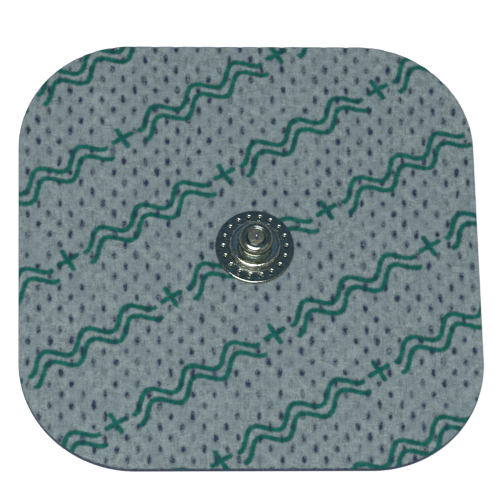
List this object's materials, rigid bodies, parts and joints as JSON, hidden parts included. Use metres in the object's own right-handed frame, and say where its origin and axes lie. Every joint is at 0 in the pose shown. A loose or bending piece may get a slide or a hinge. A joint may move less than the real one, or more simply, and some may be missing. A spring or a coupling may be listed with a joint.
{
  "type": "tens electrode pad",
  "caption": "Square self-adhesive electrode pad with round corners, a dimpled fabric cover and a metal snap stud that carries current from a lead to the skin.",
  "frame": {"origin": "middle of the pad's sticky underside", "axes": "+Z out of the cover along the snap stud, +Y towards the top edge of the pad in the picture, +X to its right"},
  "size_m": [0.05, 0.05, 0.0045],
  "materials": {
    "cover_fabric": "white nonwoven with embossed points",
    "carbon_film": "matt carbon-filled film",
    "hydrogel": "clear sticky gel",
    "snap_eyelet": "plain nickel plate",
    "snap_stud": "bright nickel plate"
  },
  "bodies": {
    "root": {"cover_fabric": "cover_fabric", "carbon_film": "carbon_film", "hydrogel": "hydrogel", "snap_eyelet": "snap_eyelet", "snap_stud": "snap_stud"}
  },
  "joints": []
}
